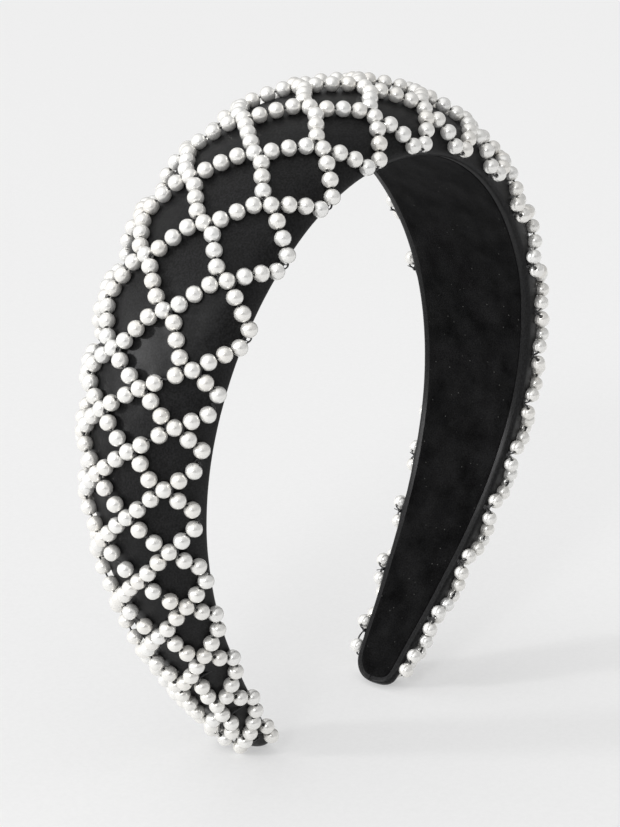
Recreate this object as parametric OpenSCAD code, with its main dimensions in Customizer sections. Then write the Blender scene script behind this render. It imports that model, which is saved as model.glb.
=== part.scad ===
// Padded headband with a netting of pearl beads over black satin.
// Origin: the middle of the crown on the head side of the lining. +Z up, X across the head, Y front to back.

/* [Arch] */
// Inside radius of the crown
crown_r = 57; // [52:0.5:64]
// Angle that the crown arc sweeps on each side, degrees
crown_sweep = 40; // [36:1:44]
// Inside radius of the sides, over the temples
side_r = 69; // [64:0.5:76]
// Angle that the side arc sweeps, degrees
side_sweep = 65.5; // [60:0.5:68]
// Inside radius of the lower arms
arm_r = 107; // [95:1:125]
// Angle that the lower arm arc sweeps, degrees
arm_sweep = 17; // [12:1:20]
// Inside radius of the last run to the tip, almost straight
tip_r = 480; // [300:10:900]
// Length of the last run
tip_run = 40; // [34:1:44]

/* [Padded band] */
// Half of the band's width at the crown
crown_half_w = 21.2; // [19:0.1:23]
// Half of the band's width at the tips
tip_half_w = 6; // [5:0.1:8]
// Radius that rounds each tip in plan
tip_round = 5; // [3:0.1:5.5]
// Padding height over the crown
crown_h = 12.3; // [10:0.1:14]
// Padding height at the tips
tip_h = 3.5; // [3:0.1:5]
// How late the padding height falls away towards the tips
h_power = 5; // [3:1:7]

/* [Layers] */
// Thickness of the satin
satin_t = 0.35; // [0.25:0.05:0.5]
// Width of the satin turned under each edge
hem_w = 6; // [4:0.5:8]
// Thickness of the velvet lining
lining_t = 0.5; // [0.4:0.1:1]
// Width of satin left showing beside the lining
hem_show = 2.3; // [1.5:0.1:3]
// Thickness of the sprung core strip
core_t = 1.2; // [0.8:0.1:1.6]
// Distance from the band's edge to the edge of the core
core_inset = 1.2; // [1:0.1:2]
// Clearance between layers
gap = 0.05; // [0.03:0.01:0.1]

/* [Pearls] */
// Diameter of a pearl
pearl_d = 3.8; // [3.6:0.05:3.8]
// Radius of the hole through a pearl
hole_r = 0.4; // [0.3:0.05:0.5]
// Radius of the netting thread
thread_r = 0.22; // [0.15:0.01:0.25]
// Radius of a knot where the net is sewn to the satin
knot_r = 0.6; // [0.4:0.05:0.7]

/* [Net] */
// Distance from the crown's middle to the first joint pearl of the outer rows
first_joint = 8.1; // [8:0.1:8.6]
// Distance between joints at the crown
crown_pitch = 16.2; // [16.2:0.1:17]
// How much each distance grows towards the sides
crown_pitch_step = 0.7; // [0.7:0.1:0.9]
// Meshes with three pearls a side, on each half
crown_meshes = 4; // [4:1:4]
// First distance between joints where the meshes have two pearls a side
arm_pitch = 11.5; // [11.4:0.1:12.5]
// How much each distance grows towards the tip
arm_pitch_step = 1.0; // [0.9:0.05:1.1]
// Meshes with two pearls a side, on each half
arm_meshes = 7; // [7:1:7]
// Distance from the last joint to the one that ends the net
end_run = 6.3; // [6.2:0.1:6.5]
// Distance between two rows of joints at the crown
crown_gap = 11.6; // [11.4:0.1:12]
// The same distance where the meshes of three pearls a side end
side_gap = 10.9; // [10.8:0.1:11.4]
// The same distance on the arms, where the net is pulled longer
arm_gap = 9.2; // [8.8:0.1:9.4]
// The most that a gap may take of the girth over the pearls, which binds near the tips
row_share = 0.206; // [0.2:0.001:0.21]
// How far the net lies to the right at the crown
shift = 1.4; // [0:0.1:2]
// How far the net lies towards the back on the left arm and towards the front on the right one
sway = 1; // [0:0.1:1.5]
// Distance along the band to the middle of that sway
sway_at = 104; // [90:1:115]
// Half length of that sway
sway_reach = 36; // [25:1:45]
// Half of the distance between the two pearls on each side of a sewn turn, at the crown
turn_half = 2.05; // [2:0.05:2.4]
// How much wider that is at the tips
turn_gain = 0.4; // [0:0.1:0.8]

/* [Hidden] */
$fn = 48;
PEARL_ROWS = 4;
SECTION_STEPS = 14;
STATION_STEP = 5;
TABLE_STEP = 6;
min_drop = 0.8;
tip_gain = 0.2;
edge_keep = 0.9;
chord_room = 0.07;
loop_room = 0.05;
end_short = 0.1;
lift = pearl_d / 2 + gap;
pearl_pitch = pearl_d + 0.08;
pair_half = pearl_d / 2 + 0.06;
last_q = 2 * (crown_meshes + arm_meshes + 1);
change_q = 2 * crown_meshes + 1;

// ---- the arch: a chain of tangent arcs, measured by the length s from the middle of the crown ----

function deg_of(len, r) = len / r * 180 / PI;
ARCS = [
    [crown_r, crown_r * crown_sweep * PI / 180],
    [side_r, side_r * side_sweep * PI / 180],
    [arm_r, arm_r * arm_sweep * PI / 180],
    [tip_r, tip_run]
];
// Start of arc i: [length so far, slope angle, x, z]
function arc_start(i) = i == 0 ? [0, 0, 0, lining_t + gap]
    : let (p = arc_start(i - 1), r = ARCS[i - 1][0], t = p[1] + deg_of(ARCS[i - 1][1], r))
      [p[0] + ARCS[i - 1][1], t, p[2] + r * (sin(t) - sin(p[1])), p[3] + r * (cos(t) - cos(p[1]))];
STARTS = [for (i = [0:len(ARCS)]) arc_start(i)];
half_len = STARTS[len(ARCS)][0];
function arc_index(s) = s >= STARTS[3][0] ? 3 : s >= STARTS[2][0] ? 2 : s >= STARTS[1][0] ? 1 : 0;
function slope_at(s) = let (i = arc_index(s)) STARTS[i][1] + deg_of(s - STARTS[i][0], ARCS[i][0]);
function arch_pt(s) = let (i = arc_index(s), p = STARTS[i], r = ARCS[i][0], t = slope_at(s))
    [p[2] + r * (sin(t) - sin(p[1])), p[3] + r * (cos(t) - cos(p[1]))];
function curve_at(s) = 1 / ARCS[arc_index(s)][0];
// Point at length s (negative on the left), y across the band, n out from the hem's head side
function band_pt(s, y, n) = let (a = abs(s), p = arch_pt(a), t = slope_at(a))
    [(s < 0 ? -1 : 1) * (p[0] + n * sin(t)), y, p[1] + n * cos(t)];

// ---- width and height laws ----

function half_w(a) = tip_half_w + (crown_half_w - tip_half_w) * cos(90 * a / half_len);
function height(a) = tip_h + (crown_h - tip_h) * (1 - pow(a / half_len, h_power));
// How far the plan's rounded tip has come in at length a, 0 to tip_round
function nose(a) = let (d = max(0, a - (half_len - tip_round)))
    tip_round - sqrt(max(0, tip_round * tip_round - d * d));
function plan_w(a) = half_w(a) - 0.75 * nose(a);
function plan_h(a) = height(a) - 0.4 * nose(a);

// ---- strips and domes swept along the arch ----

function stations(reach) = let (n = ceil(reach / STATION_STEP))
    [for (i = [-n:n]) reach * sin(90 * i / n) * 0.25 + reach * i / n * 0.75];
function dome(b, h, base) = let (h0 = h - base)
    [for (i = [0:SECTION_STEPS]) let (t = -90 + 180 * i / SECTION_STEPS) [b * sin(t), base + h0 * cos(t)]];

// Closed solid through rings of equal count: outer and inner paths that face each other
module sweep_strip(rings) {
    n = len(rings[0]);
    m = len(rings);
    half = n / 2;
    sides = [for (i = [0:m - 2], k = [0:n - 1]) let (a = i * n + k, b = i * n + (k + 1) % n)
        each [[a, b, a + n], [b, b + n, a + n]]];
    cap0 = [for (k = [0:half - 2]) each [[k, n - 1 - k, k + 1], [k + 1, n - 1 - k, n - 2 - k]]];
    top = (m - 1) * n;
    cap1 = [for (f = cap0) [top + f[0], top + f[2], top + f[1]]];
    polyhedron(points = [for (r = rings) each r], faces = concat(sides, cap0, cap1));
}

// Ring of a flat strip at s, from n0 to n1, and half as wide as w
function strip_ring(s, w, n0, n1) = [for (p = [[-w, n0], [w, n0], [w, n1], [-w, n1]]) band_pt(s, p[0], p[1])];

module spring_core() {
    color("dimgray") sweep_strip([for (s = stations(half_len - 2.5))
        strip_ring(s, plan_w(abs(s)) - core_inset, satin_t + gap, satin_t + gap + core_t)]);
}

module velvet_lining() {
    color([0.06, 0.06, 0.07]) sweep_strip([for (s = stations(half_len - 2.6))
        strip_ring(s, plan_w(abs(s)) - hem_show * (0.4 + 0.6 * plan_w(abs(s)) / crown_half_w),
            -lining_t - gap, -gap)]);
}

module foam_pad() {
    base = satin_t + core_t + 2 * gap;
    color("lightgray") sweep_strip([for (s = stations(half_len - 2.5)) let (a = abs(s))
        let (b = plan_w(a) - satin_t - gap, h = plan_h(a) - satin_t - gap)
        let (w0 = b * sqrt(1 - pow((base - satin_t) / (h - satin_t), 2)) - gap)
        concat(
            [for (i = [0:SECTION_STEPS]) band_pt(s, w0 * (2 * i / SECTION_STEPS - 1), base)],
            [for (i = [SECTION_STEPS:-1:0]) let (y = w0 * (2 * i / SECTION_STEPS - 1))
                let (y1 = w0 * sin(90 * (2 * i / SECTION_STEPS - 1)))
                band_pt(s, y1, max(base + 0.1, satin_t + (h - satin_t) * sqrt(max(0, 1 - pow(y1 / b, 2)))))]
        )]);
}

// Satin over the padding, turned under along both edges
module satin_cover() {
    color([0.1, 0.1, 0.11]) sweep_strip([for (s = stations(half_len)) let (a = abs(s))
        let (b = plan_w(a), h = plan_h(a))
        let (under = max(0.1, min(b - hem_w, b * (half_len - 1.5 - a) / 4)))
        let (outer = dome(b, h, 0), inner = dome(b - satin_t, h - satin_t, satin_t))
        concat(
            [band_pt(s, -under, 0)],
            [for (p = outer) band_pt(s, p[0], p[1])],
            [band_pt(s, under, 0), band_pt(s, under, satin_t)],
            [for (i = [SECTION_STEPS:-1:0]) band_pt(s, inner[i][0], inner[i][1])],
            [band_pt(s, -under, satin_t)]
        )]);
}

// ---- where the net lies: s along the band, w across it over the pearls' centres ----

function dome_len(b, h) = PI / 2 * (3 * (b + h) - sqrt((3 * b + h) * (b + 3 * h)));
function girth(a) = dome_len(half_w(a), height(a)) + PI * lift;
// Section angle for each distance w, measured from the middle of the band
function table(b, h) = let (
        half = [for (t = 0, w = 0; t <= 90; w = w + norm(over_pt(b, h, t + TABLE_STEP) - over_pt(b, h, t)),
            t = t + TABLE_STEP) [w, t]]
    ) concat([for (i = [len(half) - 1:-1:1]) -half[i]], half);
// Point of the section at angle t, lifted off the satin by the pearls' centre height
function over_pt(b, h, t, up = lift) = let (d = norm([sin(t) / b, cos(t) / h]))
    [b * sin(t) + sin(t) / b / d * up, h * cos(t) + cos(t) / h / d * up];
function section_pt(p, up) = let (a = abs(p[0]), b = half_w(a), h = height(a))
    over_pt(b, h, lookup(p[1], table(b, h)), up);
function net_pt(p, up = lift) = let (q = section_pt(p, up)) band_pt(p[0], q[0], q[1]);
// How much longer the band is at p's height than along the arch
function stretch(p) = 1 + curve_at(abs(p[0])) * section_pt(p, lift)[1];

// ---- the net: joint (q, j), where q counts half meshes from the crown and j the rows from the front ----

function outer_s(k) = k == 0 ? first_joint
    : outer_s(k - 1) + (k <= crown_meshes ? crown_pitch + crown_pitch_step * (k - 1)
        : arm_pitch + arm_pitch_step * (k - 1 - crown_meshes));
OUTER = [for (k = [0:crown_meshes + arm_meshes]) outer_s(k)];
function along(m) = m == 0 ? 0
    : m % 2 == 1 ? OUTER[(m - 1) / 2]
    : m == last_q ? OUTER[m / 2 - 1] + end_run
    : (OUTER[m / 2 - 1] + OUTER[m / 2]) / 2;
// The net's shift dies out towards the tips
function s_of(q) = sign(q) * along(abs(q)) + shift * (1 - pow(along(abs(q)) / along(last_q), 2));
function sway_of(a) = let (d = (a - sway_at) / sway_reach) abs(d) >= 1 ? 0 : sway * pow(cos(90 * d), 2);
// The rows close up slowly over the meshes of three pearls and fast over the first meshes of two
function row_gap(a) = min(row_share * girth(a), lookup(a, [
    [0, crown_gap], [OUTER[1], crown_gap], [OUTER[crown_meshes] - arm_pitch / 2, side_gap],
    [OUTER[crown_meshes + 2], arm_gap], [half_len, arm_gap]
]));
function row_w(s, j) = (j - (PEARL_ROWS - 1) / 2) * row_gap(abs(s)) - sign(s) * sway_of(abs(s));
function joint(q, j) = [s_of(q), row_w(s_of(q), j)];
function is_joint(q, j) = (q + j + last_q) % 2 == 1;
function pearls_in(q0, q1) = let (m = min(abs(q0), abs(q1))) m < change_q ? 3 : m < last_q - 1 ? 2 : 1;
// The middle row has no room for its second pearl beside the last edge joints
function row_pearls(q0, q1, j) = j == 1 && max(abs(q0), abs(q1)) == last_q - 1 ? 1 : pearls_in(q0, q1);
// Distance across from a joint to its first pearls, x to the side: more where the narrow tips bend them
function out_of(x, a) = sqrt(pearl_pitch * pearl_pitch - x * x) * tip_stretch(a);
// First pearl of a strand that leaves joint p: side -1 or 1 along the band, out -1 or 1 across it
function beside(p, side, out, x = pair_half) = let (q = p + [0, out * out_of(x, abs(p[0]))])
    q + [side * x / stretch(q), 0];
function between(a, b, n) = n == 1 ? [(a + b) / 2] : [for (i = [0:n - 1]) a + (b - a) * i / (n - 1)];

// From the first to the last pearl of a strand that spans run along the band and gap across it
function chain(x, run, gap) = norm([run - 2 * x, gap - 2 * sqrt(pearl_pitch * pearl_pitch - x * x)]);
// Halving search for the x that leaves the strand's pearls touching
function fit_side(lo, hi, run, gap, need, tries = 12) = let (x = (lo + hi) / 2)
    tries == 0 ? x
    : chain(x, run, gap) > need ? fit_side(x, hi, run, gap, need, tries - 1)
    : fit_side(lo, x, run, gap, need, tries - 1);
// How far a strand's first pearl lies to the side of its joint, up to where the strand is straight
function side_of(run, gap, n, a) = let (straight = pearl_pitch * run / norm([run, gap]))
    fit_side(pair_half, max(pair_half, straight), run, gap,
        (n - 1) * (pearl_pitch + chord_room) * tip_stretch(a));
// Chords across the narrow tips are shorter than the arcs that the net is laid out on
function tip_stretch(a) = 1 + tip_gain * pow(a / half_len, 3);

// Strand from joint (q, j) to joint (q + side, j + 1), as [s, w] points of its pearls
function strand(q, j, side) = let (
        a = joint(q, j), b = joint(q + side, j + 1), dir = sign(b[0] - a[0]), n = row_pearls(q, q + side, j),
        x = side_of(abs(b[0] - a[0]) * stretch((a + b) / 2), b[1] - a[1], n, abs(a[0] + b[0]) / 2)
    ) between(beside(a, dir, 1, x), beside(b, -dir, -1, x), n);
STRANDS = [for (j = [0:PEARL_ROWS - 2])
    [for (q = [-last_q:last_q], side = [-1, 1]) if (is_joint(q, j) && abs(q + side) <= last_q) [q, j, side]]];

// Half loop from an edge joint to the sewn turn between it and its neighbour
function half_loop(q, j, side) = abs(q + side) == last_q ? end_loop(q, j, side) : let (
        out = j == 0 ? -1 : 1, a = joint(q, j), turn = s_of(q + side), dir = sign(turn - a[0]),
        n = pearls_in(q, q + side),
        end_s = turn - dir * (turn_half + turn_gain * abs(turn) / half_len),
        run = abs(end_s - a[0]) * stretch(a + [0, out * pearl_d]),
        reach = n * (pearl_pitch + loop_room),
        drop = sqrt(max(reach * reach - run * run, min_drop * min_drop)) * tip_stretch(abs(turn)),
        edge_w = girth(abs(end_s)) / 2 - edge_keep,
        last = [end_s, out * min(abs(a[1]) + drop, edge_w)]
    ) n == 1 ? [beside(a, dir, out)] : [for (i = [1:n]) a + (last - a) * i / n];
// The half loop that ends the net at a tip, which runs along the edge
function end_loop(q, j, side) = let (
        out = j == 0 ? -1 : 1, a = joint(q, j), turn = s_of(q + side), dir = sign(turn - a[0]),
        first = beside(a, dir, out),
        end_s = turn - dir * end_short,
        run = abs(end_s - first[0]) * stretch(first + [0, out * pearl_d]),
        need = pearl_pitch + chord_room,
        drop = sqrt(max(need * need - run * run, min_drop * min_drop)) * tip_stretch(half_len),
        edge_w = girth(abs(end_s)) / 2 - edge_keep
    ) [first, [end_s, out * min(abs(first[1]) + drop, edge_w)]];
function loops(j) = [for (q = [-last_q:last_q], side = [-1, 1])
    if (is_joint(q, j) && abs(q + side) <= last_q) [q, j, side]];

// ---- pearls, thread and knots ----

module along_line(a, b) {
    v = b - a;
    translate(a) rotate([0, acos(v[2] / norm(v)), atan2(v[1], v[0])]) children();
}

// A pearl centred at c, drilled along the line from a to b
module pearl(c, a, b) {
    along_line(c, c + b - a) difference() {
        sphere(d = pearl_d);
        cylinder(r = hole_r, h = 2 * pearl_d, center = true);
    }
}

module joint_row(j) {
    color("white") for (q = [-last_q:last_q]) if (is_joint(q, j)) {
        p = joint(q, j);
        pearl(net_pt(p), net_pt(p - [0, 1]), net_pt(p + [0, 1]));
    }
}

// Pearls of one run of [s, w] points, each drilled along the run
module string(run, before, after) {
    pts = [for (p = concat([before], run, [after])) net_pt(p)];
    for (i = [1:len(run)]) pearl(pts[i], pts[i - 1], pts[i + 1]);
}

// Where the thread leaves a joint pearl's hole
function mouth(p, out) = p + [0, out * pearl_d / 2];

module net_row(j) {
    color("white") for (k = STRANDS[j]) {
        run = strand(k[0], k[1], k[2]);
        string(run, mouth(joint(k[0], k[1]), 1), mouth(joint(k[0] + k[2], k[1] + 1), -1));
    }
}

module edge_row(j) {
    out = j == 0 ? -1 : 1;
    color("white") for (k = loops(j)) {
        run = half_loop(k[0], k[1], k[2]);
        string(run, mouth(joint(k[0], k[1]), out), knot_at(k, run));
    }
}

// Knot of a turn: between the two pearls that end its half loops, and a little further out
function knot_at(k, run) = let (last = run[len(run) - 1], out = k[1] == 0 ? -1 : 1)
    [s_of(k[0] + k[2]), last[1] + out * 1.2];

// One straight length of thread, stopping short of its ends so that lengths never overlap
module thread_len(a, b, trim) {
    v = b - a;
    if (norm(v) > 2 * trim + 0.1)
        along_line(a + v / norm(v) * trim, b) cylinder(r = thread_r, h = norm(v) - 2 * trim);
}

// Lengths that run through each pearl's hole from one mouth to the other
module thread_through(pts) {
    for (i = [1:len(pts) - 2]) {
        v = (pts[i + 1] - pts[i - 1]) / norm(pts[i + 1] - pts[i - 1]) * pearl_d / 2;
        thread_len(pts[i] - v, pts[i] + v, 0.03);
    }
}

// Thread across the band through the joint pearls of row j
module joint_thread(j) {
    for (q = [-last_q:last_q]) if (is_joint(q, j))
        thread_through([for (w = [-1, 0, 1]) net_pt(joint(q, j) + [0, w])]);
}

module net_thread(j) {
    color("black") {
        joint_thread(j);
        for (k = STRANDS[j]) {
            a = mouth(joint(k[0], k[1]), 1);
            b = mouth(joint(k[0] + k[2], k[1] + 1), -1);
            thread_through([for (p = concat([a], strand(k[0], k[1], k[2]), [b])) net_pt(p)]);
        }
    }
}

module edge_thread(j) {
    out = j == 0 ? -1 : 1;
    color("black") {
        if (j == PEARL_ROWS - 1) joint_thread(j);
        for (k = loops(j)) {
            run = half_loop(k[0], k[1], k[2]);
            ends = concat([mouth(joint(k[0], j), out)], run, [knot_at(k, run)]);
            thread_through([for (p = ends) net_pt(p)]);
        }
    }
}

module edge_knots(j) {
    color("black") for (k = loops(j)) if (k[2] == 1 || k[0] == -last_q + 1) {
        run = half_loop(k[0], k[1], k[2]);
        translate(net_pt(knot_at(k, run), knot_r + gap)) sphere(r = knot_r);
    }
}

spring_core();
foam_pad();
satin_cover();
velvet_lining();
edge_row(0);  // front_edge_pearls
joint_row(0);  // joint_pearls_1
net_row(0);  // net_pearls_1
joint_row(1);  // joint_pearls_2
net_row(1);  // net_pearls_2
joint_row(2);  // joint_pearls_3
net_row(2);  // net_pearls_3
joint_row(3);  // joint_pearls_4
edge_row(3);  // back_edge_pearls
edge_thread(0);  // front_edge_thread
net_thread(0);  // net_thread_1
net_thread(1);  // net_thread_2
net_thread(2);  // net_thread_3
edge_thread(3);  // back_edge_thread
edge_knots(0);  // front_edge_knots
edge_knots(3);  // back_edge_knots
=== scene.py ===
"""Looks of the pearl headband: satin over foam, velvet lining, and a net of drilled pearls on black thread.

Everything is in metres, in the CAD model's own frame. The band is measured as in the CAD: s along it from the
middle of the crown (negative on the left), y across it, and n out from the hem's head side.
"""
import math
import random

import bpy
import numpy as np
from mathutils import Matrix, Vector, noise


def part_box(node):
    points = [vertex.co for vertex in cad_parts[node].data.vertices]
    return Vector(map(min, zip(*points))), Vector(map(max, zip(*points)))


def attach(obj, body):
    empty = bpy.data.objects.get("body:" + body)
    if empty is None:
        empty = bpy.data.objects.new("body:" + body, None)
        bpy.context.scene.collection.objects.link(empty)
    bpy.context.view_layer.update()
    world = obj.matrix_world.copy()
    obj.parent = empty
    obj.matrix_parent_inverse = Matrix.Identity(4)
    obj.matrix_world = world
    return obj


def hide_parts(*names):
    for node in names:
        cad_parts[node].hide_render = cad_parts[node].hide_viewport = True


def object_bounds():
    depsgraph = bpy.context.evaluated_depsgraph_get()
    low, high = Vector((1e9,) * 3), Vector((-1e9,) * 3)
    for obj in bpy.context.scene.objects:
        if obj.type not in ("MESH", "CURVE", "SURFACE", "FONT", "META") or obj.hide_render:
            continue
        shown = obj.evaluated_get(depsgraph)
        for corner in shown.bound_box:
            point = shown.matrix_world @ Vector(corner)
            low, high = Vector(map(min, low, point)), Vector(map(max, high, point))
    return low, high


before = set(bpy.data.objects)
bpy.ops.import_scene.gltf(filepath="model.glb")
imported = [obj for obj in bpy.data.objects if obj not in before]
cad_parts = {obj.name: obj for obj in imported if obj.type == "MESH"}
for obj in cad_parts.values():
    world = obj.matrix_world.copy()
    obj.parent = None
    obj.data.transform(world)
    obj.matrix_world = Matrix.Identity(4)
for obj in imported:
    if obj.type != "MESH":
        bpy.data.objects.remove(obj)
CAD_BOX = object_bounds()
MM = 0.001

# ---- sizes: read from the CAD boxes where they can be, and otherwise the CAD's driving dimensions ----

_, SATIN_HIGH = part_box("satin_cover")
PEARL_D = 3.8 * MM
HOLE_R = 0.4 * MM
THREAD_R = 0.2 * MM
GAP = 0.05 * MM
LINING_T = 0.5 * MM
ARCS = [(57 * MM, 40.0), (69 * MM, 65.5), (107 * MM, 17.0)]
TIP_R, TIP_RUN = 480 * MM, 40 * MM
HEM_N = LINING_T + GAP
CROWN_HALF_W = SATIN_HIGH.y
CROWN_H = SATIN_HIGH.z - HEM_N
TIP_HALF_W, TIP_H, H_POWER = 6 * MM, 3.5 * MM, 5
FRONT_ROUND, FRONT_POWER = 3.8 * MM, 3.0
BACK_ROUND, BACK_POWER = 6.2 * MM, 2.2
SATIN_T = 0.35 * MM
HEM_W, HEM_SHOW = 6 * MM, 2.3 * MM
FOLD_R = 0.8 * MM
LINING_END = 1.0 * MM
CORE_T = 1.2 * MM
CORE_TOP = SATIN_T + CORE_T + 2 * GAP


def arc_rows():
    """Start of each arc of the arch as (length so far, slope, x, z, radius), and the whole half length."""
    rows, s, t, x, z = [], 0.0, 0.0, 0.0, HEM_N
    runs = [(r, r * math.radians(sweep)) for r, sweep in ARCS] + [(TIP_R, TIP_RUN)]
    for r, length in runs:
        rows.append((s, t, x, z, r))
        end = t + length / r
        x += r * (math.sin(end) - math.sin(t))
        z += r * (math.cos(end) - math.cos(t))
        s, t = s + length, end
    return rows, s


ARC_ROWS, HALF_LEN = arc_rows()


def band(s, y, n):
    """Points at length s along the band, y across it and n out from the hem's head side."""
    s, y, n = np.broadcast_arrays(np.asarray(s, float), np.asarray(y, float), np.asarray(n, float))
    a = np.abs(s)
    x, z, slope = np.zeros_like(a), np.zeros_like(a), np.zeros_like(a)
    for s0, t0, x0, z0, r in ARC_ROWS:
        t = t0 + (a - s0) / r
        on = a >= s0
        x = np.where(on, x0 + r * (np.sin(t) - math.sin(t0)), x)
        z = np.where(on, z0 + r * (np.cos(t) - math.cos(t0)), z)
        slope = np.where(on, t, slope)
    side = np.where(s < 0, -1.0, 1.0)
    return np.stack([side * (x + n * np.sin(slope)), y, z + n * np.cos(slope)], axis=-1)


def half_w(a):
    """Half of the band's width at length a, before the tip is rounded."""
    return TIP_HALF_W + (CROWN_HALF_W - TIP_HALF_W) * np.cos(np.pi / 2 * a / HALF_LEN)


def height(a):
    """Height of the padding at length a."""
    return TIP_H + (CROWN_H - TIP_H) * (1 - (a / HALF_LEN) ** H_POWER)


def rounding(a, reach, power):
    """1 along the band, falling to 0 at its end over the last reach, as a superellipse does."""
    d = np.clip((a - (HALF_LEN - reach)) / reach, 0, 0.99997)
    return (1 - d ** power) ** (1 / power)


def tip_plan(ring, a, inset=0.0):
    """A ring of (y, n) points, narrowed at the tip: squarer at its front corner than at its back."""
    a = min(a + inset, HALF_LEN)
    front, back = rounding(a, FRONT_ROUND, FRONT_POWER), rounding(a, BACK_ROUND, BACK_POWER)
    ring = np.array(ring)
    ring[:, 0] *= np.where(ring[:, 0] < 0, front, back)
    return ring


# ---- meshes ----


def new_piece(name, mesh, material, replaces=()):
    """An object that rides on the band's one body and stands for the CAD nodes it replaces."""
    piece = bpy.data.objects.new(name, mesh)
    bpy.context.scene.collection.objects.link(piece)
    mesh.materials.append(material)
    mesh.shade_smooth()
    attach(piece, "root")
    if replaces:
        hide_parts(*replaces)
    return piece


def mesh_of(name, points, faces):
    mesh = bpy.data.meshes.new(name)
    mesh.from_pydata([tuple(p) for p in np.asarray(points).reshape(-1, 3)], [], faces)
    mesh.validate()
    mesh.update()
    return mesh


def grid_faces(rows, columns, wrap=False, first=0):
    """Quads of a grid of points, and round it where each row is a closed ring."""
    faces = []
    for i in range(rows - 1):
        for k in range(columns if wrap else columns - 1):
            a, b = first + i * columns + k, first + i * columns + (k + 1) % columns
            faces.append((a, b, b + columns, a + columns))
    return faces


def ring_caps(rows, columns):
    """The two end faces of a closed strip of rings."""
    last = (rows - 1) * columns
    return [tuple(range(columns - 1, -1, -1)), tuple(range(last, last + columns))]


def set_uv(mesh, uv):
    """A flat cloth map, one unit to 10 mm, from (across, along) distances at each point."""
    layer = mesh.uv_layers.new(name="cloth")
    index = np.zeros(len(mesh.loops), np.int32)
    mesh.loops.foreach_get("vertex_index", index)
    layer.data.foreach_set("uv", (np.asarray(uv).reshape(-1, 2)[index] * 100).astype(np.float32).ravel())


# ---- materials ----


class Nodes:
    """A material's node tree with short calls for making and joining nodes."""

    def __init__(self, name):
        self.material = bpy.data.materials.new(name)
        self.material.use_nodes = True
        self.tree = self.material.node_tree
        self.shader = self.tree.nodes["Principled BSDF"]

    def add(self, kind, **settings):
        made = self.tree.nodes.new(kind)
        for key, value in settings.items():
            if hasattr(made, key):
                setattr(made, key, value)
            else:
                made.inputs[key.replace("_", " ")].default_value = value
        return made

    def join(self, out, into):
        self.tree.links.new(out, into)

    def put(self, **values):
        for key, value in values.items():
            self.shader.inputs[key.replace("_", " ")].default_value = value

    def ramp(self, source, stops):
        made = self.add("ShaderNodeValToRGB")
        elements = made.color_ramp.elements
        while len(elements) < len(stops):
            elements.new(0.5)
        for element, (place, colour) in zip(elements, stops):
            element.position = place
            element.color = (*colour, 1)
        self.join(source, made.inputs["Fac"])
        return made.outputs["Color"]

    def remap(self, source, low, high):
        made = self.add("ShaderNodeMapRange")
        made.inputs["To Min"].default_value = low
        made.inputs["To Max"].default_value = high
        self.join(source, made.inputs["Value"])
        return made.outputs["Result"]

    def noise(self, coordinate, scale, detail=2.0):
        made = self.add("ShaderNodeTexNoise")
        made.inputs["Scale"].default_value = scale
        made.inputs["Detail"].default_value = detail
        self.join(coordinate, made.inputs["Vector"])
        return made.outputs["Fac"]

    def bump(self, height_out, strength, distance, after=None):
        made = self.add("ShaderNodeBump")
        made.inputs["Strength"].default_value = strength
        made.inputs["Distance"].default_value = distance
        self.join(height_out, made.inputs["Height"])
        if after is not None:
            self.join(after, made.inputs["Normal"])
        return made.outputs["Normal"]


def satin_material():
    """Black satin: long floats along the band, a soft gloss, and thread-to-thread variation."""
    n = Nodes("satin_black")
    cloth = n.add("ShaderNodeUVMap", uv_map="cloth").outputs["UV"]
    place = n.add("ShaderNodeTexCoord").outputs["Object"]
    floats = n.add("ShaderNodeMapping")
    floats.inputs["Scale"].default_value = (110, 9, 1)
    n.join(cloth, floats.inputs["Vector"])
    yarn = n.noise(floats.outputs["Vector"], 1.0, 3.0)
    broad = n.noise(place, 90.0, 2.0)
    grain = n.noise(place, 2300.0, 2.0)
    weave = n.add("ShaderNodeMix", data_type="RGBA", blend_type="MULTIPLY")
    weave.inputs["Factor"].default_value = 1.0
    n.join(n.ramp(yarn, [(0.25, (0.004, 0.004, 0.0043)), (0.75, (0.011, 0.011, 0.0117))]), weave.inputs["A"])
    n.join(n.ramp(grain, [(0.35, (0.25, 0.25, 0.25)), (0.65, (1.5, 1.5, 1.5))]), weave.inputs["B"])
    n.join(weave.outputs["Result"], n.shader.inputs["Base Color"])
    n.join(n.remap(broad, 0.34, 0.48), n.shader.inputs["Roughness"])
    n.put(Sheen_Weight=0.03, Sheen_Roughness=0.35, Sheen_Tint=(0.75, 0.77, 0.8, 1), Specular_IOR_Level=0.17,
          Anisotropic=0.45)
    n.join(n.bump(grain, 0.3, 0.00004, after=n.bump(yarn, 0.35, 0.00006)), n.shader.inputs["Normal"])
    return n.material


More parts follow.
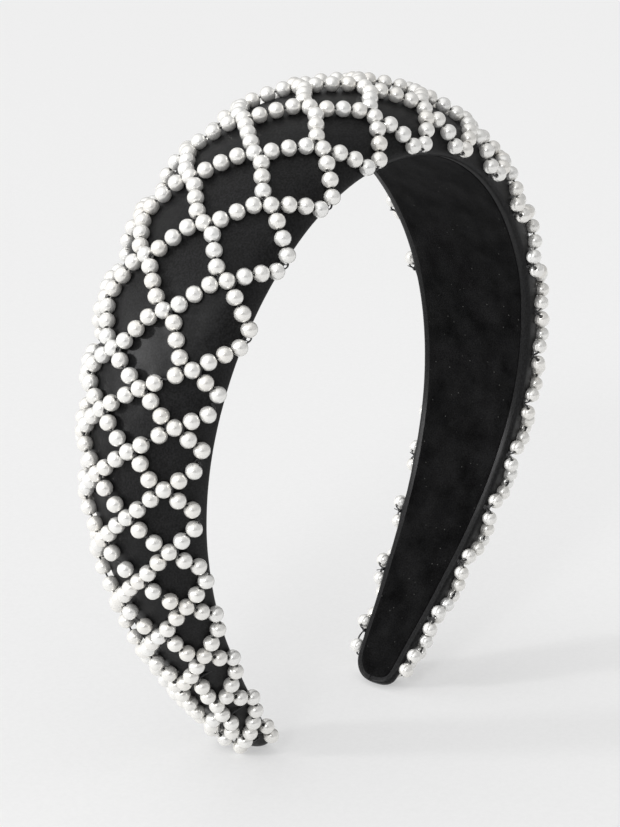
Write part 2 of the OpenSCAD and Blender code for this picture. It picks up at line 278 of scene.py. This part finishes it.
def velvet_material():
    """Black short-pile velvet: no gloss, a faint bloom, fine grain and a few specks of lint."""
    n = Nodes("velvet_black")
    place = n.add("ShaderNodeTexCoord").outputs["Object"]
    pile = n.noise(place, 3200.0, 3.0)
    nap = n.noise(place, 160.0, 3.0)
    grain = n.add("ShaderNodeMath", operation="MULTIPLY")
    n.join(pile, grain.inputs[0])
    n.join(nap, grain.inputs[1])
    specks = n.add("ShaderNodeTexVoronoi", feature="F1")
    specks.inputs["Scale"].default_value = 420.0
    n.join(place, specks.inputs["Vector"])
    base = n.ramp(grain.outputs[0], [(0.12, (0.0012, 0.0012, 0.0013)), (0.42, (0.0115, 0.0115, 0.0118))])
    lint = n.ramp(specks.outputs["Distance"], [(0.0, (0.09, 0.09, 0.085)), (0.09, (0.0, 0.0, 0.0))])
    both = n.add("ShaderNodeMix", data_type="RGBA", blend_type="ADD")
    both.inputs["Factor"].default_value = 1.0
    n.join(base, both.inputs["A"])
    n.join(lint, both.inputs["B"])
    n.join(both.outputs["Result"], n.shader.inputs["Base Color"])
    n.put(Roughness=0.95, Sheen_Weight=0.035, Sheen_Roughness=0.45, Sheen_Tint=(0.8, 0.8, 0.82, 1),
          Specular_IOR_Level=0.04)
    n.join(n.bump(pile, 0.8, 0.00012), n.shader.inputs["Normal"])
    return n.material


def pearl_material():
    """White pearl lacquer: a soft body under a clear coat, each pearl a little warmer or cooler."""
    n = Nodes("pearl_white")
    place = n.add("ShaderNodeTexCoord").outputs["Object"]
    tone = n.add("ShaderNodeAttribute", attribute_name="tone").outputs["Fac"]
    mottle = n.noise(place, 700.0, 2.0)
    body = n.ramp(tone, [(0.0, (0.88, 0.87, 0.85)), (0.5, (0.9, 0.9, 0.895)), (1.0, (0.9, 0.91, 0.92))])
    cloud = n.ramp(mottle, [(0.3, (0.95, 0.945, 0.94)), (0.7, (1.0, 1.0, 1.0))])
    both = n.add("ShaderNodeMix", data_type="RGBA", blend_type="MULTIPLY")
    both.inputs["Factor"].default_value = 1.0
    n.join(body, both.inputs["A"])
    n.join(cloud, both.inputs["B"])
    n.join(both.outputs["Result"], n.shader.inputs["Base Color"])
    n.join(n.remap(mottle, 0.18, 0.28), n.shader.inputs["Roughness"])
    n.put(Metallic=0.5, Specular_IOR_Level=0.6, Coat_Weight=0.6, Coat_Roughness=0.1, Coat_IOR=1.5,
          Coat_Tint=(1, 0.985, 0.95, 1))
    n.join(n.bump(mottle, 0.05, 0.00005), n.shader.inputs["Normal"])
    return n.material


def thread_material():
    """Black polyester thread, its filaments lit a little."""
    n = Nodes("thread_black")
    place = n.add("ShaderNodeTexCoord").outputs["Object"]
    fibre = n.noise(place, 5200.0, 2.0)
    n.join(n.ramp(fibre, [(0.3, (0.006, 0.006, 0.0065)), (0.7, (0.026, 0.026, 0.028))]),
           n.shader.inputs["Base Color"])
    n.put(Roughness=0.55, Sheen_Weight=0.3, Sheen_Roughness=0.4)
    n.join(n.bump(fibre, 0.5, 0.00005), n.shader.inputs["Normal"])
    return n.material


def foam_material():
    """Dark open-cell foam, darker in the pits of its cells as painted shade."""
    n = Nodes("foam_dark")
    place = n.add("ShaderNodeTexCoord").outputs["Object"]
    cells = n.add("ShaderNodeTexVoronoi", feature="F1")
    cells.inputs["Scale"].default_value = 1400.0
    n.join(place, cells.inputs["Vector"])
    # Cell pits (small Distance, low in the bump) get the darker colour: painted shade in the pores.
    n.join(n.ramp(cells.outputs["Distance"], [(0.1, (0.02, 0.02, 0.021)), (0.6, (0.055, 0.055, 0.058))]),
           n.shader.inputs["Base Color"])
    n.put(Roughness=0.9)
    n.join(n.bump(cells.outputs["Distance"], 0.6, 0.0003), n.shader.inputs["Normal"])
    return n.material


def core_material():
    """Black moulded strip with a faint mould grain."""
    n = Nodes("core_black")
    place = n.add("ShaderNodeTexCoord").outputs["Object"]
    grain = n.noise(place, 1500.0, 3.0)
    n.join(n.ramp(grain, [(0.3, (0.014, 0.014, 0.015)), (0.7, (0.024, 0.024, 0.026))]),
           n.shader.inputs["Base Color"])
    n.join(n.remap(grain, 0.42, 0.58), n.shader.inputs["Roughness"])
    n.join(n.bump(grain, 0.2, 0.00008), n.shader.inputs["Normal"])
    return n.material


# Emission strength of the floor: painted light that keeps the floor bright and its shadows faint.
FLOOR_GLOW = 0.42


def floor_material():
    """Pale matt sheet that glows by its own emission: painted light, with no lamp behind it, so that shadows on
    it stay faint and it lights the band from below.
    """
    n = Nodes("floor_pale_glowing")
    place = n.add("ShaderNodeTexCoord").outputs["Object"]
    tooth = n.noise(place, 900.0, 2.0)
    n.join(n.ramp(tooth, [(0.3, (0.44, 0.44, 0.44)), (0.7, (0.46, 0.46, 0.46))]), n.shader.inputs["Base Color"])
    # Emission on the floor: painted light, the sheet glows though it is no lamp.
    n.put(Roughness=1.0, Specular_IOR_Level=0.0, Emission_Color=(1, 1, 1, 1), Emission_Strength=FLOOR_GLOW)
    return n.material


# ---- camera, light and floor ----

CAMERA_AT = Vector((-0.43450, -0.34676, 0.11286))
CAMERA_AZIMUTH, CAMERA_DOWN, CAMERA_ROLL = map(math.radians, (-50.986, 17.954, 2.299))
LENS, SENSOR = 103.55, 36.0
SURROUND, BRIGHT_GAIN, DARK_LOSS = 0.5, 0.78, 0.45
BRIGHT_REACH, DARK_REACH = (0.15, 0.98), (0.8, 0.985)
SUN_ANGLE, SUN_POWER = 7, 1.6
BOX_DISTANCE, BOX_SIZE, BOX_POWER = 3.0, 0.5, 14
FLOOR_HALF = 12.0


def camera_axes():
    """The camera's right, up and forward directions."""
    az, down = CAMERA_AZIMUTH, CAMERA_DOWN
    forward = Vector((-math.sin(az) * math.cos(down), math.cos(az) * math.cos(down), -math.sin(down)))
    right = forward.cross(Vector((0, 0, 1))).normalized()
    up = right.cross(forward)
    c, s = math.cos(CAMERA_ROLL), math.sin(CAMERA_ROLL)
    return right * c + up * s, up * c - right * s, forward


def add_camera():
    right, up, forward = camera_axes()
    data = bpy.data.cameras.new("camera")
    data.lens, data.sensor_width = LENS, SENSOR
    data.clip_start, data.clip_end = 0.01, 50
    camera = bpy.data.objects.new("camera", data)
    bpy.context.scene.collection.objects.link(camera)
    turn = Matrix((right, up, -forward)).transposed().to_4x4()
    camera.matrix_world = Matrix.Translation(CAMERA_AT) @ turn
    bpy.context.scene.camera = camera


def add_area(name, direction, distance, size, power):
    """A soft box that looks at the middle of the band from the given direction."""
    middle = (CAD_BOX[0] + CAD_BOX[1]) / 2
    data = bpy.data.lights.new(name, "AREA")
    data.shape, data.size, data.energy = "DISK", size, power
    light = bpy.data.objects.new(name, data)
    towards = Vector(direction).normalized()
    light.location = middle + towards * distance
    light.rotation_mode = "QUATERNION"
    light.rotation_quaternion = towards.to_track_quat("Z", "Y")
    bpy.context.scene.collection.objects.link(light)


def add_sun(name, direction, angle, power):
    data = bpy.data.lights.new(name, "SUN")
    data.angle, data.energy = math.radians(angle), power
    light = bpy.data.objects.new(name, data)
    light.rotation_mode = "QUATERNION"
    light.rotation_quaternion = Vector(direction).normalized().to_track_quat("Z", "Y")
    bpy.context.scene.collection.objects.link(light)


def add_world(bright_side, dark_side):
    """A pale surround, brighter towards bright_side and darker in a cone towards dark_side."""
    world = bpy.data.worlds.new("studio")
    world.use_nodes = True
    tree = world.node_tree
    background = tree.nodes["Background"]
    way = tree.nodes.new("ShaderNodeTexCoord").outputs["Generated"]

    def lobe(axis, start, end, amount):
        along = tree.nodes.new("ShaderNodeVectorMath")
        along.operation = "DOT_PRODUCT"
        along.inputs[1].default_value = axis
        tree.links.new(way, along.inputs[0])
        reach = tree.nodes.new("ShaderNodeMapRange")
        reach.interpolation_type = "SMOOTHSTEP"
        reach.inputs["From Min"].default_value = start
        reach.inputs["From Max"].default_value = end
        reach.inputs["To Max"].default_value = amount
        tree.links.new(along.outputs["Value"], reach.inputs["Value"])
        return reach.outputs["Result"]

    def total(a, b):
        made = tree.nodes.new("ShaderNodeMath")
        made.operation = "ADD"
        tree.links.new(a, made.inputs[0])
        if isinstance(b, float):
            made.inputs[1].default_value = b
        else:
            tree.links.new(b, made.inputs[1])
        return made.outputs["Value"]

    light = total(lobe(bright_side, *BRIGHT_REACH, BRIGHT_GAIN), lobe(dark_side, *DARK_REACH, -DARK_LOSS))
    tree.links.new(total(light, SURROUND), background.inputs["Strength"])
    background.inputs["Color"].default_value = (1, 1, 1, 1)
    bpy.context.scene.world = world


def add_studio():
    """A pale floor under the tips that glows with painted light, a pale surround, and soft light from the
    camera's left.
    """
    right, _, forward = camera_axes()
    level_right = Vector((right.x, right.y, 0)).normalized()
    towards_camera = -Vector((forward.x, forward.y, 0)).normalized()
    up = Vector((0, 0, 1))
    bright_side = towards_camera * 0.5 - level_right * 0.9 + up
    add_world(bright_side.normalized(), -forward)
    add_sun("key", towards_camera * 0.28 - level_right + up * 0.24, SUN_ANGLE, SUN_POWER)
    add_area("front_box", towards_camera - level_right * 0.35 + up * 0.6, BOX_DISTANCE, BOX_SIZE, BOX_POWER)
    half, z = FLOOR_HALF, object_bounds()[0].z
    corners = [(-half, -half, z), (half, -half, z), (half, half, z), (-half, half, z)]
    floor = bpy.data.objects.new("floor", mesh_of("floor", corners, [(0, 1, 2, 3)]))
    floor.data.materials.append(floor_material())
    bpy.context.scene.collection.objects.link(floor)


# ---- pearls, read from the drilled holes of the CAD nodes ----


def node_arrays(node):
    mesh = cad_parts[node].data
    co = np.zeros(len(mesh.vertices) * 3)
    mesh.vertices.foreach_get("co", co)
    edges = np.zeros(len(mesh.edges) * 2, np.int32)
    mesh.edges.foreach_get("vertices", edges)
    return co.reshape(-1, 3), edges.reshape(-1, 2)


def clusters(points, reach):
    """Groups of point indices that lie within reach of the group's first point."""
    left = np.arange(len(points))
    groups = []
    while len(left):
        near = np.linalg.norm(points[left] - points[left[0]], axis=1) < reach
        groups.append(left[near])
        left = left[~near]
    return groups


def drilled_pearls(node):
    """(centre, hole direction) of each pearl: only the walls of its hole have edges nearly as long as it is."""
    co, edges = node_arrays(node)
    ends = co[edges[:, 1]] - co[edges[:, 0]]
    length = np.linalg.norm(ends, axis=1)
    long = length > 0.9 * PEARL_D
    middle = (co[edges[long, 0]] + co[edges[long, 1]]) / 2
    way = ends[long] / length[long, None]
    found = []
    for group in clusters(middle, 1.2 * MM):
        first = way[group[0]]
        aligned = way[group] * np.sign(way[group] @ first)[:, None]
        axis = aligned.mean(0)
        found.append((middle[group].mean(0), axis / np.linalg.norm(axis)))
    return found


PEARL_ROWS = ["front_edge_pearls", "joint_pearls_1", "net_pearls_1", "joint_pearls_2", "net_pearls_2",
              "joint_pearls_3", "net_pearls_3", "joint_pearls_4", "back_edge_pearls"]
THREAD_OF = {"front_edge_pearls": "front_edge_thread", "joint_pearls_1": "net_thread_1",
             "net_pearls_1": "net_thread_1", "joint_pearls_2": "net_thread_2", "net_pearls_2": "net_thread_2",
             "joint_pearls_3": "net_thread_3", "net_pearls_3": "net_thread_3",
             "joint_pearls_4": "back_edge_thread", "back_edge_pearls": "back_edge_thread"}
AROUND = 28
ACROSS = 1.03


def pearl_profile():
    """Half outline from hole lip to hole lip as (distance out from the hole's axis, place along it)."""
    r = PEARL_D / 2
    lip = 0.55 * MM
    start = math.asin((HOLE_R + lip * 0.55) / (r * ACROSS))
    shell = [(r * ACROSS * math.sin(t), r * math.cos(t)) for t in np.linspace(start, math.pi - start, 15)]
    top = r * math.cos(start)
    mouth = [(HOLE_R, top - 0.32 * MM), (HOLE_R + 0.03 * MM, top - 0.12 * MM),
             (HOLE_R + 0.13 * MM, top - 0.02 * MM)]
    return mouth + shell + [(out, -along) for out, along in reversed(mouth)]


def frame_across(axis):
    """Two directions square to an axis."""
    helper = np.array([0.0, 0.0, 1.0]) if abs(axis[2]) < 0.9 else np.array([1.0, 0.0, 0.0])
    u = np.cross(helper, axis)
    u /= np.linalg.norm(u)
    return u, np.cross(axis, u)


def pearl_piece(node, pearls, material, rng):
    """All pearls of one row, each a lathed bead with a rounded hole through it."""
    profile = np.array(pearl_profile())
    turn = np.linspace(0, 2 * np.pi, AROUND, endpoint=False)
    count = len(profile)
    points, faces, tones = [], [], []
    for i, (centre, axis) in enumerate(pearls):
        u, v = frame_across(axis)
        spin = rng.uniform(0, 2 * math.pi)
        size = 1 + rng.uniform(-0.008, 0.0)
        ring = np.cos(turn + spin)[:, None] * u + np.sin(turn + spin)[:, None] * v
        bead = size * (profile[:, 0][:, None, None] * ring[None] + profile[:, 1][:, None, None] * axis)
        points.append((centre + bead).reshape(-1, 3))
        first = i * count * AROUND
        faces += grid_faces(count, AROUND, wrap=True, first=first)
        last = first + (count - 1) * AROUND
        for k in range(AROUND):
            k1 = (k + 1) % AROUND
            faces.append((last + k, last + k1, first + k1, first + k))
        tones.append(np.full(count * AROUND, min(1, max(0, rng.gauss(0.5, 0.22)))))
    mesh = mesh_of(node + "_strung", np.concatenate(points), [f[::-1] for f in faces])
    tone = mesh.attributes.new("tone", "FLOAT", "POINT")
    tone.data.foreach_set("value", np.concatenate(tones).astype(np.float32))
    return new_piece(node + "_strung", mesh, material, [node])


# ---- thread ----


def tube(path, radius, sides=8, ply=0.16, lay=1.1 * MM):
    """Points of a two-ply twisted thread along a path, with the number of its rings and of points in each."""
    path = np.asarray(path, float)
    way = np.gradient(path, axis=0)
    way /= np.linalg.norm(way, axis=1)[:, None] + 1e-12
    u, _ = frame_across(way[0])
    angle = np.linspace(0, 2 * np.pi, sides, endpoint=False)
    rings, gone = [], 0.0
    for i, (p, w) in enumerate(zip(path, way)):
        u = u - w * (u @ w)
        u /= np.linalg.norm(u)
        v = np.cross(w, u)
        if i:
            gone += np.linalg.norm(p - path[i - 1])
        r = radius * (1 + ply * np.cos(2 * (angle - 2 * np.pi * gone / lay)))
        rings.append(p + (r * np.cos(angle))[:, None] * u + (r * np.sin(angle))[:, None] * v)
    return np.concatenate(rings), len(path), sides


class Skein:
    """Collects tubes into one mesh."""

    def __init__(self):
        self.points, self.faces, self.count = [], [], 0

    def add(self, path, radius, sides=8, **how):
        points, rows, columns = tube(path, radius, sides, **how)
        made = grid_faces(rows, columns, wrap=True) + ring_caps(rows, columns)
        self.faces += [tuple(self.count + k for k in f) for f in made]
        self.points.append(points)
        self.count += len(points)

    def piece(self, name, material, replaces):
        mesh = mesh_of(name, np.concatenate(self.points), self.faces)
        return new_piece(name, mesh, material, replaces)


def bridge(a, way_a, b, way_b, steps=6, slack=0.45):
    """A curve that leaves a along way_a and comes into b against way_b."""
    reach = slack * np.linalg.norm(b - a) + 0.12 * MM
    t = np.linspace(0, 1, steps)[:, None]
    p1, p2 = a + way_a * reach, b + way_b * reach
    return (1 - t) ** 3 * a + 3 * (1 - t) ** 2 * t * p1 + 3 * (1 - t) * t ** 2 * p2 + t ** 3 * b


MOUTH_IN = 0.25 * MM
JOINT_REACH, STRAND_REACH = 1.75 * MM, 2.2 * MM


def mouths_of(rows):
    """Every hole mouth as (row, point, outward direction, pearl number)."""
    found = []
    for row, pearls in rows.items():
        for i, (centre, axis) in enumerate(pearls):
            for way in (axis, -axis):
                found.append((row, centre + way * (PEARL_D / 2 - MOUTH_IN), way, (row, i)))
    return found


def thread_links(mouths, knots):
    """Pairs of mouths that the thread joins: joint pearls to their strands first, then along each strand, then
    from the ends of the edge loops to their knots."""
    at = np.array([m[1] for m in mouths])
    is_joint = np.array([m[0].startswith("joint") for m in mouths])
    used, links = set(), []
    for i in np.flatnonzero(is_joint):
        near = np.linalg.norm(at - at[i], axis=1)
        for j in np.flatnonzero((near < JOINT_REACH) & ~is_joint):
            if j not in used:
                links.append((i, j))
                used.add(j)
    free = [j for j in np.flatnonzero(~is_joint) if j not in used]
    pairs = sorted((np.linalg.norm(at[i] - at[j]), i, j) for a, i in enumerate(free) for j in free[a + 1:]
                   if mouths[i][3] != mouths[j][3] and np.linalg.norm(at[i] - at[j]) < STRAND_REACH)
    for _, i, j in pairs:
        if i not in used and j not in used and mouths[i][2] @ mouths[j][2] < 0:
            links.append((i, j))
            used.update((i, j))
    ends = []
    for j in free:
        if j not in used:
            ends.append((j, int(np.linalg.norm(knots - at[j], axis=1).argmin())))
    return links, ends


def knot(skein, centre, out, along, rng):
    """A hitch of thread lying on the satin: three tight turns and two cut tails."""
    across = np.cross(out, along)
    turn = np.linspace(0, 2 * np.pi, 13)
    for tilt, lift, r in ((0.3, 0.0, 0.42), (-0.6, 0.12, 0.36), (1.2, 0.28, 0.26)):
        u = math.cos(tilt) * along + math.sin(tilt) * out
        middle = centre + out * (lift - 0.15) * MM
        loop = middle + r * MM * (np.cos(turn)[:, None] * u + np.sin(turn)[:, None] * across)
        skein.add(loop, 0.17 * MM, 6, ply=0.12)
    for side in (-1, 1):
        lean = (along * rng.uniform(-0.7, 0.7) + across * side * rng.uniform(0.2, 0.8)
                + out * rng.uniform(0.35, 0.9))
        lean /= np.linalg.norm(lean)
        droop = along * rng.uniform(-0.5, 0.5) - out * rng.uniform(0.1, 0.5)
        t = np.linspace(0, 1, 6)[:, None]
        length = rng.uniform(1.3, 2.4) * MM
        skein.add(centre + lean * length * t + droop * length * 0.4 * t ** 2, 0.11 * MM, 6, ply=0.1)


def knot_centres(node):
    co, _ = node_arrays(node)
    return [(co[g].min(0) + co[g].max(0)) / 2 for g in clusters(co, 3 * MM)]


def nearest_frame(point):
    """(direction along the band, direction out of it) beside a point near the band."""
    s = np.linspace(-HALF_LEN, HALF_LEN, 1601)
    line = band(s, point[1], 4 * MM)
    i = int(np.linalg.norm(line - point, axis=1).argmin())
    i = min(max(i, 1), len(s) - 2)
    along = line[i + 1] - line[i - 1]
    along /= np.linalg.norm(along)
    base = band(s[i], 0.0, 0.0)
    out = point - (base + (point - base) @ along * along)
    return along, out / np.linalg.norm(out)


# ---- satin, foam and velvet ----

SATIN_STEP = 0.75 * MM
TIP_STEPS = 18
PUFF, PUFF_REACH = 0.22 * MM, 5.0 * MM
CREASE, CREASE_REACH = 0.55 * MM, 2.6 * MM
SLOW_WAVE, FINE_WAVE = 0.16 * MM, 0.05 * MM
CALM_TIP = 6 * MM
EDGE_POINTS, FOLD_POINTS, DOME_POINTS = 6, 5, 66


def stations(reach):
    """Lengths along the band, closer and closer together where the tips round off."""
    straight = reach - BACK_ROUND
    middle = np.linspace(-straight, straight, 2 * int(straight / SATIN_STEP) + 1)
    tip = straight + BACK_ROUND * np.sin(np.linspace(0, np.pi / 2, TIP_STEPS))[1:]
    return np.concatenate([-tip[::-1], middle, tip])


def satin_path(b, h, under):
    """The satin's outer line at one station, from the left hem's raw edge over the dome to the right hem's."""
    r = min(FOLD_R, 0.45 * h, 0.6 * b)
    hem = [(y, 0.0) for y in np.linspace(under, b - r, EDGE_POINTS, endpoint=False)]
    fold = [(b - r + r * math.sin(t), r - r * math.cos(t))
            for t in np.linspace(0, math.pi / 2, FOLD_POINTS, endpoint=False)]
    dome = [(b * math.sin(t), r + (h - r) * math.cos(t))
            for t in np.linspace(-math.pi / 2, math.pi / 2, DOME_POINTS)]
    return np.array([(-y, n) for y, n in hem + fold] + dome + list(reversed(hem + fold)))


def satin_shape(a):
    """Half width, height and the hem's raw edge at length a."""
    b = half_w(a)
    h = height(a) * (0.3 + 0.7 * rounding(a, 2.4 * MM, 2.2))
    return b, h, np.maximum(0.02 * MM, b - HEM_W)


def nearness(points, targets, reach):
    """1 at a target, falling to 0 at reach."""
    grid = {}
    for t in targets:
        grid.setdefault(tuple(np.floor(t / reach).astype(int)), []).append(t)
    packed = {k: np.array(v) for k, v in grid.items()}
    out = np.zeros(len(points))
    cells = np.floor(points / reach).astype(int)
    for cell in np.unique(cells, axis=0):
        around = [packed[(cell[0] + i, cell[1] + j, cell[2] + k)] for i in (-1, 0, 1) for j in (-1, 0, 1)
                  for k in (-1, 0, 1) if (cell[0] + i, cell[1] + j, cell[2] + k) in packed]
        if around:
            here = np.flatnonzero((cells == cell).all(1))
            near = np.linalg.norm(points[here, None] - np.concatenate(around)[None], axis=2).min(1)
            out[here] = np.clip(1 - near / reach, 0, 1)
    return out


def satin_wrap(material, pearls, knots):
    """One piece of satin, stretched over the foam and turned under, gathered a little at every stitch."""
    s = stations(HALF_LEN)
    rows, flat = [], []
    for si in s:
        b, h, under = (float(v) for v in satin_shape(abs(si)))
        path = tip_plan(satin_path(b, h, under), abs(si))
        rows.append(band(si, path[:, 0], path[:, 1]))
        gone = np.concatenate([[0], np.cumsum(np.linalg.norm(np.diff(path, axis=0), axis=1))])
        flat.append(np.stack([gone - gone[-1] / 2, np.full(len(path), si)], axis=1))
    points = np.array(rows)
    columns = points.shape[1]
    along = np.gradient(points, axis=0)
    across = np.gradient(points, axis=1)
    out = np.cross(across, along)
    out /= np.linalg.norm(out, axis=2)[..., None] + 1e-12
    flat_points = points.reshape(-1, 3)
    under_net = nearness(flat_points, pearls, PUFF_REACH)
    free = np.clip((0.62 - under_net) / 0.4, 0, 1)
    puff = PUFF * free * free * (3 - 2 * free)
    crease = -CREASE * nearness(flat_points, knots, CREASE_REACH) ** 1.6
    slow = np.array([noise.noise(Vector(p) * 95) for p in flat_points]) * SLOW_WAVE
    fine = np.array([noise.noise(Vector((x * 260, y * 620, z * 260))) for x, y, z in flat_points]) * FINE_WAVE
    slow = np.minimum(slow, 0.0) + np.maximum(slow, 0.0) * free
    column = np.tile(np.arange(columns), len(s))
    hem_share = np.clip((np.minimum(column, columns - 1 - column) - EDGE_POINTS) / (FOLD_POINTS + 3), 0, 1)
    tips = np.repeat(np.clip((HALF_LEN - np.abs(s)) / CALM_TIP, 0, 1), columns)
    shift = (puff + slow + fine) * hem_share * tips + crease * np.clip(hem_share * 2, 0.25, 1)
    flat_points = flat_points + out.reshape(-1, 3) * shift[:, None]
    faces = grid_faces(len(s), columns)
    mesh = mesh_of("satin_wrap", flat_points, faces)
    set_uv(mesh, np.array(flat))
    piece = bpy.data.objects.new("satin_wrap_open", mesh)
    bpy.context.scene.collection.objects.link(piece)
    solid = piece.modifiers.new("thickness", "SOLIDIFY")
    solid.thickness, solid.offset, solid.use_even_offset = SATIN_T, -1, False
    evaluated = piece.evaluated_get(bpy.context.evaluated_depsgraph_get())
    closed = bpy.data.meshes.new_from_object(evaluated)
    bpy.data.objects.remove(piece)
    closed.name = "satin_wrap"
    area = float(np.linalg.norm(np.cross(along, across), axis=2).sum())
    return new_piece("satin_wrap", closed, material, ["satin_cover"]), area


def strip(name, s, ring_of):
    """A closed mesh through one ring of (y, n) points per station."""
    rings = [ring_of(abs(si)) for si in s]
    points = np.array([band(si, ring[:, 0], ring[:, 1]) for si, ring in zip(s, rings)])
    rows, columns = points.shape[:2]
    mesh = mesh_of(name, points, grid_faces(rows, columns, wrap=True) + ring_caps(rows, columns))
    return mesh, points


def rounded_strip_ring(w, low, high, lip, steps=26):
    """Ring of a flat strip of half width w with rounded long edges, from its head side round to its back."""
    lip = min(lip, 0.5 * w, 0.5 * (high - low))
    head = [(y, low) for y in np.linspace(-(w - lip), w - lip, steps)]
    turn = np.linspace(-math.pi / 2, math.pi / 2, 7)[1:-1]
    right = [(w - lip + lip * math.cos(t), (low + high) / 2 + (high - low) / 2 * math.sin(t)) for t in turn]
    back = [(y, high) for y in np.linspace(w - lip, -(w - lip), steps)]
    left = [(-y, n) for y, n in reversed(right)]
    return np.array(head + right + back + left)


def lining_half_w(a):
    """Half width of the velvet, which leaves a strip of satin showing on both sides."""
    show = HEM_SHOW * (0.4 + 0.6 * half_w(a) / CROWN_HALF_W)
    return half_w(a) - show


def velvet_strip(material):
    s = stations(HALF_LEN - LINING_END)
    mesh, points = strip("velvet_strip", s, lambda a: tip_plan(rounded_strip_ring(
        float(lining_half_w(a)), -LINING_T - GAP, -GAP, 0.22 * MM), a, LINING_END))
    co = points.reshape(-1, 3)
    rough = np.array([noise.noise(Vector(p) * 1500) for p in co]) * 0.035 * MM
    wander = np.array([noise.noise(Vector((p[0] * 60, 7.0, p[2] * 60))) for p in co]) * 0.25 * MM
    moved = co.copy()
    moved[:, 1] += wander
    mesh.vertices.foreach_set("co", moved.astype(np.float32).ravel())
    mesh.update()
    normals = np.zeros(len(co) * 3)
    mesh.vertices.foreach_get("normal", normals)
    moved += normals.reshape(-1, 3) * rough[:, None]
    mesh.vertices.foreach_set("co", moved.astype(np.float32).ravel())
    mesh.update()
    area = float(2 * np.trapz(lining_half_w(np.abs(s)), s))
    return new_piece("velvet_strip", mesh, material, ["velvet_lining"]), area


def foam_padding(material):
    """The foam that fills the satin over the core."""

    def ring(a):
        b, h, _ = (float(v) for v in satin_shape(a))
        b, h = b - SATIN_T - 0.35 * MM, max(h - SATIN_T - 0.35 * MM, CORE_TOP + 0.25 * MM)
        t0 = math.acos(min(0.95, (CORE_TOP - SATIN_T) / (h - SATIN_T)))
        t = np.linspace(-t0, t0, 25)
        dome = [(b * math.sin(v), SATIN_T + (h - SATIN_T) * math.cos(v)) for v in t]
        low = [(y, CORE_TOP) for y in np.linspace(dome[-1][0], dome[0][0], 13)[1:-1]]
        return tip_plan(dome + low, a, 0.5 * MM)

    reach = HALF_LEN - 3.2 * MM
    s = np.linspace(-reach, reach, 161)
    mesh, _ = strip("foam_padding", s, ring)
    piece = new_piece("foam_padding", mesh, material, ["foam_pad"])
    return piece


# ---- the object ----


def main():
    rng = random.Random(7)
    bpy.context.scene.view_settings.view_transform = "Standard"
    add_camera()
    rows = {row: drilled_pearls(row) for row in PEARL_ROWS}
    knots = {node: knot_centres(node) for node in ("front_edge_knots", "back_edge_knots")}
    all_knots = np.array(knots["front_edge_knots"] + knots["back_edge_knots"])
    centres = np.array([p[0] for pearls in rows.values() for p in pearls])

    pearl = pearl_material()
    for row, pearls in rows.items():
        pearl_piece(row, pearls, pearl, rng)

    skeins = {name: Skein() for name in sorted(set(THREAD_OF.values()))}
    for row, pearls in rows.items():
        for centre, axis in pearls:
            ends = np.linspace(-0.88, 0.88, 3)[:, None] * axis * PEARL_D / 2
            skeins[THREAD_OF[row]].add(centre + ends, THREAD_R)
    mouths = mouths_of(rows)
    links, ends = thread_links(mouths, all_knots)
    for i, j in links:
        row_i, a, way_a, _ = mouths[i]
        row_j, b, way_b, _ = mouths[j]
        row = row_j if row_i.startswith("joint") else row_i
        skeins[THREAD_OF[row]].add(bridge(a, way_a, b, way_b), THREAD_R)
    for j, k in ends:
        row, a, way_a, _ = mouths[j]
        down = all_knots[k] - a
        down /= np.linalg.norm(down)
        skeins[THREAD_OF[row]].add(bridge(a, way_a, all_knots[k], -down * 0.6, slack=0.3), THREAD_R)

    thread = thread_material()
    for name, skein in skeins.items():
        skein.piece(name + "_twisted", thread, [name])
    for node, found in knots.items():
        skein = Skein()
        for centre in found:
            along, out = nearest_frame(centre)
            knot(skein, centre, out, along, rng)
        skein.piece(node + "_tied", thread, [node])

    satin, satin_area = satin_wrap(satin_material(), centres, all_knots)
    velvet, velvet_area = velvet_strip(velvet_material())
    foam = foam_padding(foam_material())
    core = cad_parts["spring_core"]
    core.data.materials.clear()
    core.data.materials.append(core_material())
    add_studio()


main()
